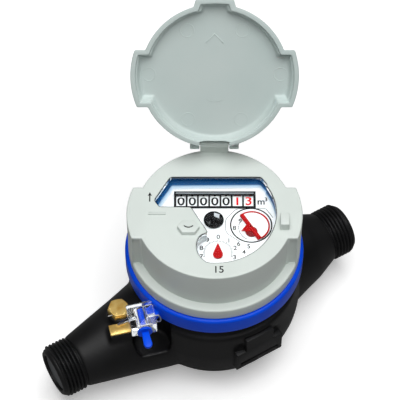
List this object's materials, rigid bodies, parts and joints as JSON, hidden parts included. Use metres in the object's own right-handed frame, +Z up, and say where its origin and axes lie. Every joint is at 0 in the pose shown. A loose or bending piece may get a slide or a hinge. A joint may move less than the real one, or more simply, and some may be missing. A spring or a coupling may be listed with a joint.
{
  "type": "water meter",
  "caption": "Multi-jet water meter with a threaded composite body, a dry dial under a window, a hinged lid standing open, a clamp ring and a wire seal.",
  "frame": {"origin": "centre of the body's flat foot, under the register's axis", "axes": "+Z up along the register axis, +X along the pipe from inlet to outlet; the register and its lid are turned 31 degrees clockwise from the pipe, seen from above"},
  "size_m": [0.165, 0.1085, 0.1619],
  "materials": {
    "black_composite": "moulded, fine texture",
    "blue_plastic": "smooth",
    "deep_blue_plastic": "satin",
    "pale_grey_plastic": "satin",
    "lid_grey_plastic": "satin",
    "clear_plastic": "clear",
    "white_plastic": "satin",
    "black_plastic": "satin",
    "red_plastic": "smooth",
    "natural_plastic": "satin",
    "strainer_grey": "fine mesh",
    "magnet": "sintered",
    "brass": "machined",
    "steel": "drawn",
    "silver_foil": "bright",
    "rubber": "matte"
  },
  "bodies": {
    "body": {"meter_body": "black_composite", "inlet_strainer": "strainer_grey", "jet_basket": "natural_plastic", "basket_lid": "natural_plastic", "impeller_pivot": "steel", "body_gasket": "rubber", "pressure_plate": "black_plastic", "clamp_ring": "blue_plastic", "regulator_plug": "brass", "seal_strip": "brass", "seal_case": "clear_plastic", "seal_rotor": "blue_plastic", "seal_wire": "steel"},
    "impeller": {"impeller": "white_plastic", "drive_magnet": "magnet"},
    "register": {"register_cup": "black_plastic", "gear_case": "natural_plastic", "dial_plate": "white_plastic", "counter_mask": "black_plastic", "dial_bezel": "deep_blue_plastic", "window": "clear_plastic", "register_cover": "pale_grey_plastic", "drum_axle": "steel", "hinge_pin": "steel"},
    "follower": {"follower_magnet": "magnet"},
    "indicator": {"flow_indicator": "black_plastic"},
    "pointer": {"drop_pointer": "red_plastic"},
    "modulator": {"modulator_carrier": "red_plastic", "modulator_foil": "silver_foil"},
    "drum_1": {"digit_drum_1": "white_plastic"},
    "drum_2": {"digit_drum_2": "white_plastic"},
    "drum_3": {"digit_drum_3": "white_plastic"},
    "drum_4": {"digit_drum_4": "white_plastic"},
    "drum_5": {"digit_drum_5": "white_plastic"},
    "drum_6": {"digit_drum_6": "white_plastic"},
    "drum_7": {"digit_drum_7": "white_plastic"},
    "lid": {"lid": "lid_grey_plastic"}
  },
  "joints": [
    {"name": "impeller_spin", "type": "hinge", "parent": "body", "child": "impeller", "pos_m": [0, 0, 0.025], "axis": [0, 0, 1], "continuous": true},
    {"name": "register_turn", "type": "hinge", "parent": "body", "child": "register", "pos_m": [0, 0, 0.06], "axis": [0, 0, 1], "range_deg": [-175, 175]},
    {"name": "follower_spin", "type": "hinge", "parent": "register", "child": "follower", "pos_m": [0, 0, 0.062], "axis": [0, 0, 1], "continuous": true},
    {"name": "indicator_spin", "type": "hinge", "parent": "register", "child": "indicator", "pos_m": [0.00021, 0.00104, 0.085], "axis": [0, 0, 1], "continuous": true},
    {"name": "pointer_spin", "type": "hinge", "parent": "register", "child": "pointer", "pos_m": [-0.00768, -0.01569, 0.085], "axis": [0, 0, 1], "continuous": true},
    {"name": "modulator_spin", "type": "hinge", "parent": "register", "child": "modulator", "pos_m": [0.0133, -0.01068, 0.085], "axis": [0, 0, 1], "continuous": true},
    {"name": "drum_1_spin", "type": "hinge", "parent": "register", "child": "drum_1", "pos_m": [-0.00725, 0.01789, 0.076], "axis": [0.8572, -0.515, 0], "continuous": true},
    {"name": "drum_2_spin", "type": "hinge", "parent": "register", "child": "drum_2", "pos_m": [-0.00279, 0.01521, 0.076], "axis": [0.8572, -0.515, 0], "continuous": true},
    {"name": "drum_3_spin", "type": "hinge", "parent": "register", "child": "drum_3", "pos_m": [0.00168, 0.01252, 0.076], "axis": [0.8572, -0.515, 0], "continuous": true},
    {"name": "drum_4_spin", "type": "hinge", "parent": "register", "child": "drum_4", "pos_m": [0.00615, 0.00984, 0.076], "axis": [0.8572, -0.515, 0], "continuous": true},
    {"name": "drum_5_spin", "type": "hinge", "parent": "register", "child": "drum_5", "pos_m": [0.01061, 0.00716, 0.076], "axis": [0.8572, -0.515, 0], "continuous": true},
    {"name": "drum_6_spin", "type": "hinge", "parent": "register", "child": "drum_6", "pos_m": [0.01508, 0.00447, 0.076], "axis": [0.8572, -0.515, 0], "continuous": true},
    {"name": "drum_7_spin", "type": "hinge", "parent": "register", "child": "drum_7", "pos_m": [0.01954, 0.00179, 0.076], "axis": [0.8572, -0.515, 0], "continuous": true},
    {"name": "lid_hinge", "type": "hinge", "parent": "register", "child": "lid", "pos_m": [0.01741, 0.02897, 0.0998], "axis": [0.8572, -0.515, 0], "range_deg": [0, 124]}
  ],
  "couplings": [
    {"joint": "follower_spin", "follows": "impeller_spin", "ratio": 1},
    {"joint": "indicator_spin", "follows": "impeller_spin", "ratio": 0.25},
    {"joint": "pointer_spin", "follows": "impeller_spin", "ratio": -0.033333},
    {"joint": "modulator_spin", "follows": "impeller_spin", "ratio": -0.003333},
    {"joint": "drum_7_spin", "follows": "impeller_spin", "ratio": -0.0033333},
    {"joint": "drum_6_spin", "follows": "impeller_spin", "ratio": -0.00033333},
    {"joint": "drum_5_spin", "follows": "impeller_spin", "ratio": -0.000033333},
    {"joint": "drum_4_spin", "follows": "impeller_spin", "ratio": -0.0000033333},
    {"joint": "drum_3_spin", "follows": "impeller_spin", "ratio": -0.00000033333},
    {"joint": "drum_2_spin", "follows": "impeller_spin", "ratio": -0.000000033333},
    {"joint": "drum_1_spin", "follows": "impeller_spin", "ratio": -0.000000003333}
  ]
}
